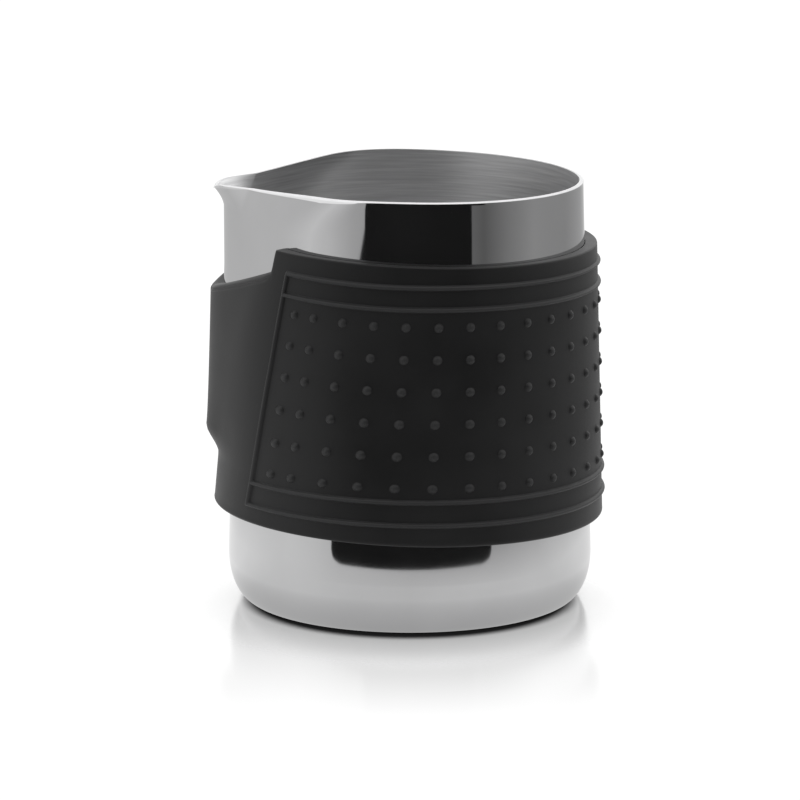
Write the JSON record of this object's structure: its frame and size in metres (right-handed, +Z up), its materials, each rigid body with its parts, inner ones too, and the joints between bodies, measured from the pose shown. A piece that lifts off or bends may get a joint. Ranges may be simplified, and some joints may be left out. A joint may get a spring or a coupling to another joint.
{
  "type": "milk frothing pitcher",
  "caption": "Handleless steel milk frothing pitcher with a V-shaped pouring spout and a removable ridged and dotted silicone grip sleeve.",
  "frame": {"origin": "middle of the jug's flat base, at the height that it stands on", "axes": "+Z up through the open mouth; the spout points along -X; the object is symmetric about the XZ plane"},
  "size_m": [0.093, 0.0904, 0.1001],
  "materials": {
    "steel": "mirror-polished outside, satin with lines round the axis inside",
    "silicone": "matte moulded silicone with a soft sheen"
  },
  "bodies": {
    "jug": {"jug": "steel"},
    "grip_sleeve": {"grip_sleeve": "silicone"}
  },
  "joints": [
    {"name": "sleeve_lift", "type": "slide", "parent": "jug", "child": "grip_sleeve", "axis": [0, 0, 1], "range_m": [0, 0.085], "deforming": ["grip_sleeve"]}
  ]
}
